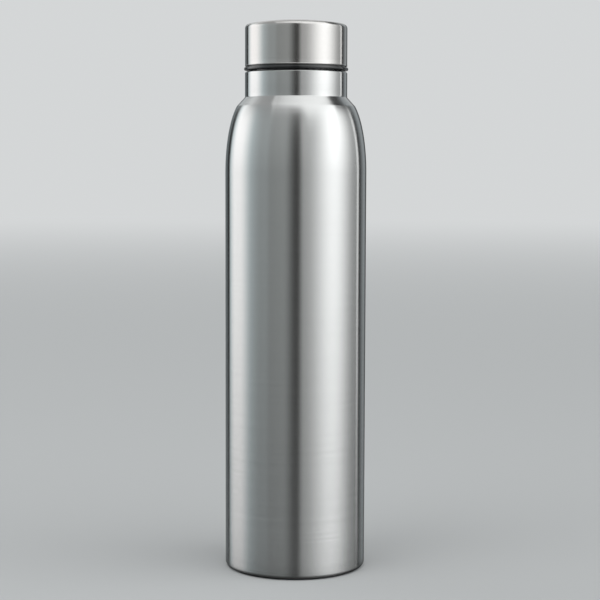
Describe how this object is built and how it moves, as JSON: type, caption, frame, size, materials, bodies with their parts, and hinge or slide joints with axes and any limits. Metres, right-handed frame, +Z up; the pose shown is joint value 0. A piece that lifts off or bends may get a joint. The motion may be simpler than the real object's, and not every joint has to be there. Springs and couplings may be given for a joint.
{
  "type": "insulated water bottle",
  "caption": "Double-walled brushed steel water bottle with a shouldered neck and a steel-clad screw cap over a black plastic threaded core.",
  "frame": {"origin": "centre of the ring the bottle stands on", "axes": "+Z up along the common axis of the bottle, its cap and their thread; X and Y are equivalent"},
  "size_m": [0.072, 0.072, 0.28],
  "materials": {
    "shell_steel": "satin",
    "liner_steel": "satin",
    "liner_bottom_steel": "satin",
    "foil": "gloss",
    "vacuum_bottom_steel": "satin",
    "solder_glass": "gloss",
    "clip_steel": "satin",
    "getter_alloy": "matte",
    "base_steel": "satin",
    "cap_steel": "satin",
    "black_plastic": "gloss",
    "foam": "matte",
    "silicone": "satin"
  },
  "bodies": {
    "bottle": {"outer_shell": "shell_steel", "inner_liner": "liner_steel", "liner_bottom": "liner_bottom_steel", "radiation_foil": "foil", "vacuum_bottom": "vacuum_bottom_steel", "seal_bead": "solder_glass", "getter_clip": "clip_steel", "getter_pellet": "getter_alloy", "base_cover": "base_steel"},
    "seal": {"cap_gasket": "silicone"},
    "cap": {"cap_shell": "cap_steel", "cap_insert": "black_plastic", "cap_foam": "foam"}
  },
  "joints": [
    {"name": "cap_rise", "type": "slide", "parent": "bottle", "child": "seal", "axis": [0, 0, 1], "range_m": [0, 0.0241]},
    {"name": "cap_turn", "type": "hinge", "parent": "seal", "child": "cap", "pos_m": [0, 0, 0.2539], "axis": [0, 0, 1], "range_deg": [0, 1080]}
  ],
  "couplings": [
    {"joint": "cap_rise", "follows": "cap_turn", "m_per_rad": 0.0012732}
  ]
}
